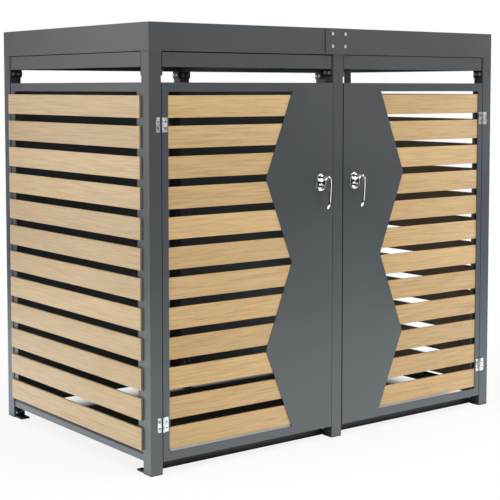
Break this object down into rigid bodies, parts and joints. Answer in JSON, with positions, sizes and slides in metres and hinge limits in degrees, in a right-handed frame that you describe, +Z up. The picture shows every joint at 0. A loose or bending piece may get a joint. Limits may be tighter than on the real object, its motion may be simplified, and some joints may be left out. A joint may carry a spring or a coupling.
{
  "type": "wheelie bin store",
  "caption": "Steel-framed wheelie bin store with a flat roof, slatted sides, and slatted hinged doors with a zigzag face sheet, lever handles and key locks.",
  "frame": {"origin": "on the ground at the centre of the ground anchor holes, under the middle of the frame", "axes": "+Z up, the doors face -Y, +X to the right of somebody facing the doors"},
  "size_m": [1.333, 0.88, 1.215],
  "materials": {
    "frame_paint": "satin",
    "black_paint": "satin",
    "dark_bolt": "satin",
    "zinc": "satin",
    "timber": "satin",
    "chrome": "polished",
    "key_brass": "satin"
  },
  "bodies": {
    "frame": {"post_front_left": "frame_paint", "post_front_mid": "frame_paint", "post_front_right": "frame_paint", "post_back_left": "frame_paint", "post_back_mid": "frame_paint", "post_back_right": "frame_paint", "top_rail_front_left": "frame_paint", "top_rail_front_right": "frame_paint", "top_rail_back_left": "frame_paint", "top_rail_back_right": "frame_paint", "top_rail_side_left": "frame_paint", "top_rail_mid": "frame_paint", "top_rail_side_right": "frame_paint", "roof_left": "frame_paint", "roof_right": "frame_paint", "roof_joint_plate_front": "frame_paint", "roof_joint_plate_back": "frame_paint", "back_panel_left": "frame_paint", "back_panel_right": "frame_paint", "back_tie_plate": "frame_paint", "side_frame_left": "frame_paint", "side_frame_right": "frame_paint", "rail_end_plates": "black_paint", "foot_brackets": "black_paint", "sill_left": "black_paint", "sill_right": "black_paint", "door_stop": "black_paint", "rail_end_bolts": "dark_bolt", "panel_bolts": "dark_bolt", "foot_bolts": "dark_bolt", "roof_joint_screws": "zinc", "hinge_pins": "zinc", "hinge_post_leaves_left": "zinc", "hinge_post_leaves_right": "zinc", "side_slats_left": "timber", "side_slats_right": "timber"},
    "left_door": {"left_door_face": "frame_paint", "left_door_slats": "timber", "left_door_battens": "frame_paint", "left_hinge_leaves": "zinc", "left_rose": "chrome", "left_lock_barrel": "chrome"},
    "left_handle": {"left_lever": "chrome", "left_spindle": "zinc", "left_cam": "zinc"},
    "left_key": {"left_key_plug": "key_brass"},
    "right_door": {"right_door_face": "frame_paint", "right_door_slats": "timber", "right_door_battens": "frame_paint", "right_hinge_leaves": "zinc", "right_rose": "chrome", "right_lock_barrel": "chrome"},
    "right_handle": {"right_lever": "chrome", "right_spindle": "zinc", "right_cam": "zinc"},
    "right_key": {"right_key_plug": "key_brass"}
  },
  "joints": [
    {"name": "left_door_hinge", "type": "hinge", "parent": "frame", "child": "left_door", "pos_m": [-0.6215, -0.419, 0.5405], "axis": [0, 0, 1], "range_deg": [-165, 0]},
    {"name": "left_handle_turn", "type": "hinge", "parent": "left_door", "child": "left_handle", "pos_m": [-0.066, -0.42, 0.78], "axis": [0, 1, 0], "range_deg": [0, 90]},
    {"name": "left_key_turn", "type": "hinge", "parent": "left_door", "child": "left_key", "pos_m": [-0.066, -0.42, 0.753], "axis": [0, 1, 0], "range_deg": [0, 90]},
    {"name": "right_door_hinge", "type": "hinge", "parent": "frame", "child": "right_door", "pos_m": [0.6215, -0.419, 0.5405], "axis": [0, 0, 1], "range_deg": [0, 165]},
    {"name": "right_handle_turn", "type": "hinge", "parent": "right_door", "child": "right_handle", "pos_m": [0.066, -0.42, 0.78], "axis": [0, 1, 0], "range_deg": [-90, 0]},
    {"name": "right_key_turn", "type": "hinge", "parent": "right_door", "child": "right_key", "pos_m": [0.066, -0.42, 0.753], "axis": [0, 1, 0], "range_deg": [-90, 0]}
  ]
}
